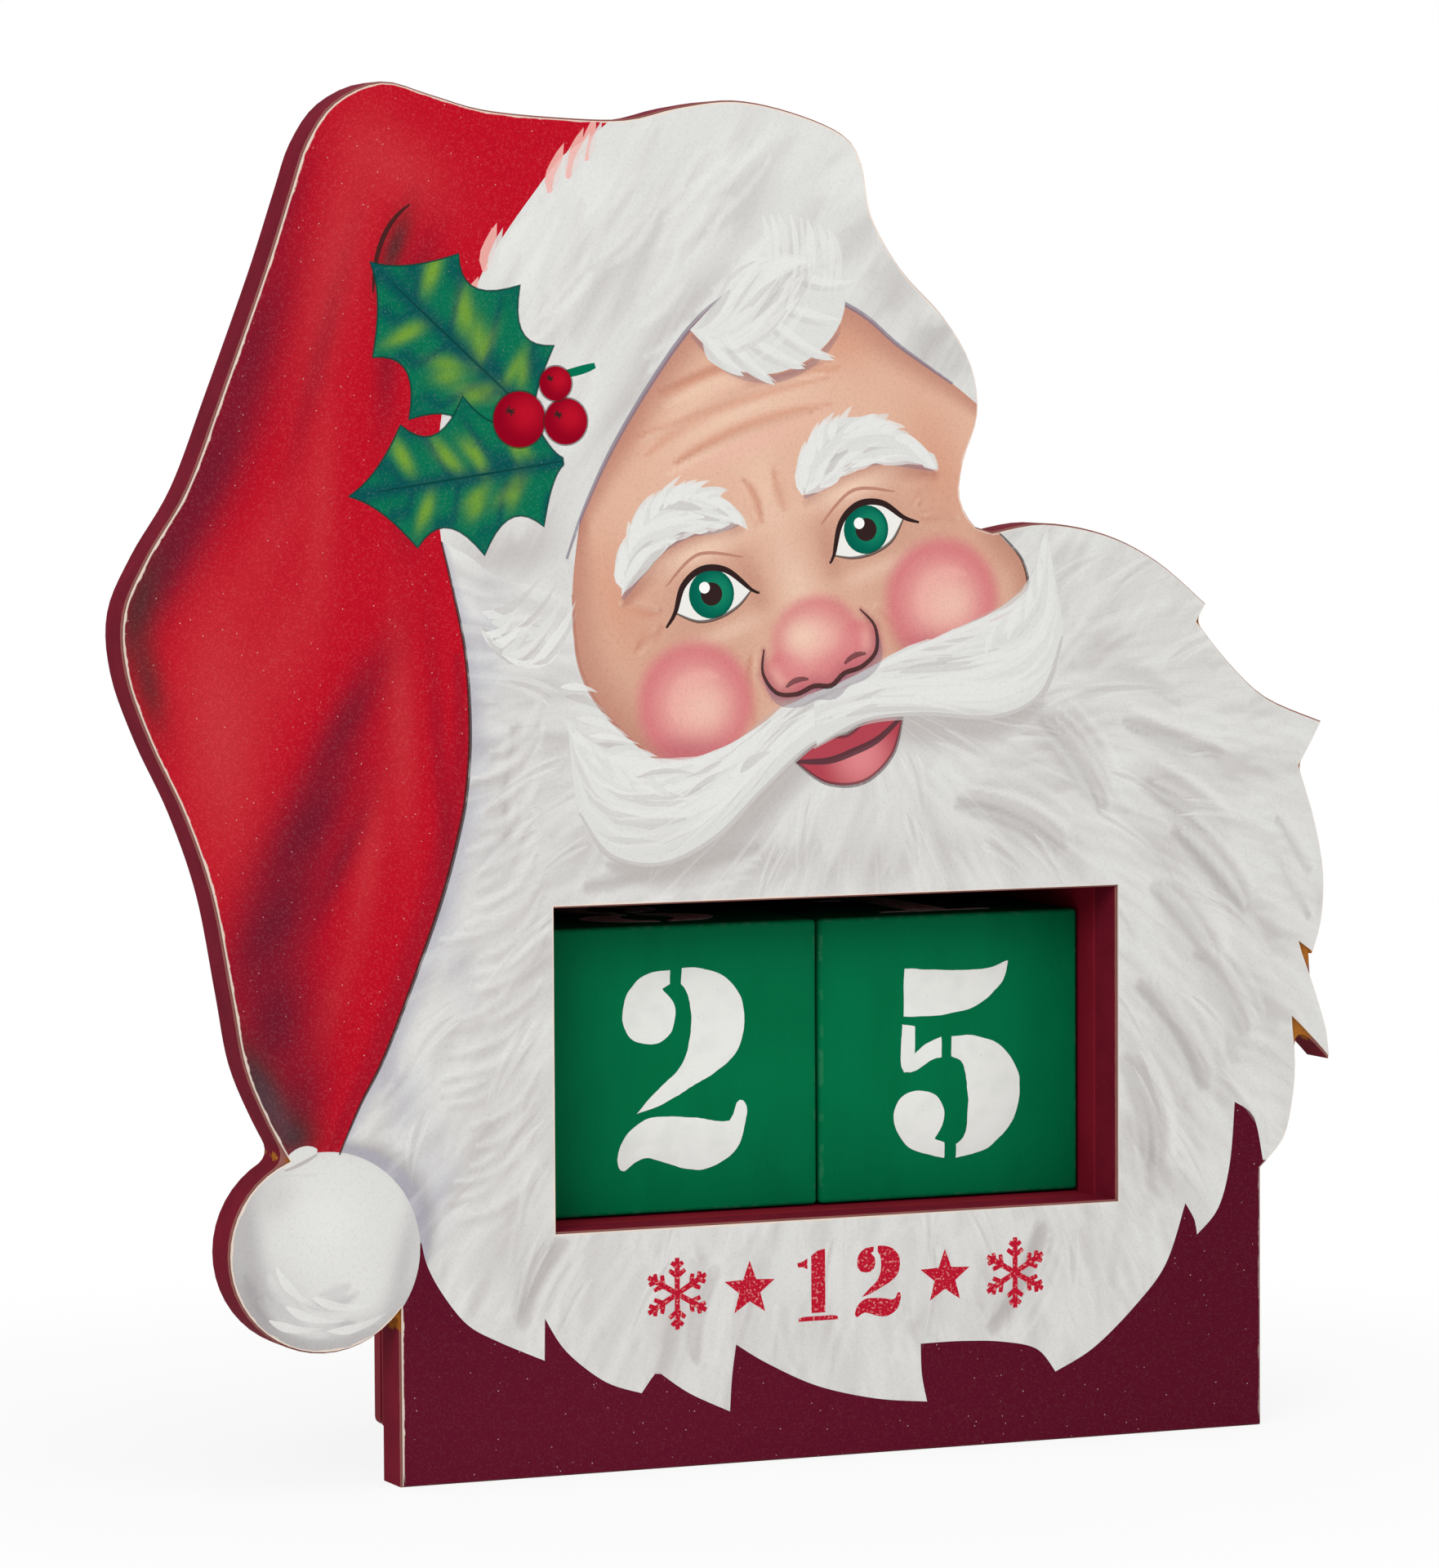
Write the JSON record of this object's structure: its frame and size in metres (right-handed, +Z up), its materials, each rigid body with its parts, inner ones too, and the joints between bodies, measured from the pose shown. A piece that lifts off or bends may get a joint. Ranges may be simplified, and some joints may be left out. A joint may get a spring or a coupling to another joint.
{
  "type": "tabletop christmas countdown calendar",
  "caption": "Free-standing plaque shaped as a bearded head in a pompom hat, with a window and a rear housing that hold loose number cubes which slide out to be turned.",
  "frame": {"origin": "on the table, under the middle of the whole object's box", "axes": "+Z up, the printed front faces -Y, +X to the right as seen from the front"},
  "size_m": [0.2246, 0.068, 0.236],
  "materials": {
    "painted_mdf": "satin maroon paint on sawn MDF, cream wear line along the front edge",
    "printed_card": "matt printed card, bearded head with red hat, holly and plain maroon base",
    "painted_cube": "brushed green paint with white stencil numerals",
    "steel_pin": "bright drawn wire"
  },
  "bodies": {
    "holder": {"plaque_board": "painted_mdf", "printed_facing": "printed_card", "left_side_panel": "painted_mdf", "right_side_panel": "painted_mdf", "cube_shelf": "painted_mdf", "top_panel": "painted_mdf", "back_panel": "painted_mdf", "back_pin_1": "steel_pin", "back_pin_2": "steel_pin", "back_pin_3": "steel_pin", "back_pin_4": "steel_pin", "back_pin_5": "steel_pin", "back_pin_6": "steel_pin", "back_pin_7": "steel_pin", "back_pin_8": "steel_pin", "back_pin_9": "steel_pin", "back_pin_10": "steel_pin", "back_pin_11": "steel_pin", "back_pin_12": "steel_pin", "left_pin_1": "steel_pin", "left_pin_2": "steel_pin", "left_pin_3": "steel_pin", "left_pin_4": "steel_pin", "right_pin_1": "steel_pin", "right_pin_2": "steel_pin", "right_pin_3": "steel_pin", "right_pin_4": "steel_pin"},
    "tens_cube": {"tens_cube": "painted_cube"},
    "units_cube": {"units_cube": "painted_cube"}
  },
  "joints": [
    {"name": "tens_cube_slide", "type": "slide", "parent": "holder", "child": "tens_cube", "axis": [0, -1, 0], "range_m": [0, 0.067]},
    {"name": "units_cube_slide", "type": "slide", "parent": "holder", "child": "units_cube", "axis": [0, -1, 0], "range_m": [0, 0.067]}
  ]
}
